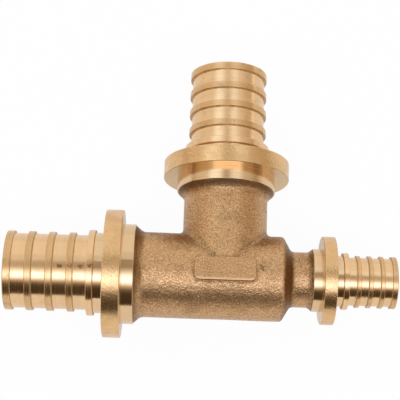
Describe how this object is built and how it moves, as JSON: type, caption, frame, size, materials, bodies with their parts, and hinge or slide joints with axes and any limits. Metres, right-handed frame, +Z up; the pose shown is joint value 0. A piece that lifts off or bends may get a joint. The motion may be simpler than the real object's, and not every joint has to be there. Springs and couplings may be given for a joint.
{
  "type": "pex reducing tee",
  "caption": "Brass reducing tee with barbed spigots and flanges for plastic heating pipe; the run narrows past the branch.",
  "frame": {"origin": "crossing of the run's axis and the branch's axis", "axes": "+X along the run towards the reduced outlet, +Y along the branch towards its mouth, +Z up, square to both axes"},
  "size_m": [0.1066, 0.0771, 0.035],
  "materials": {
    "brass": "machined spigots and sand-textured cast barrels"
  },
  "bodies": {
    "root": {"tee_body": "brass"}
  },
  "joints": []
}
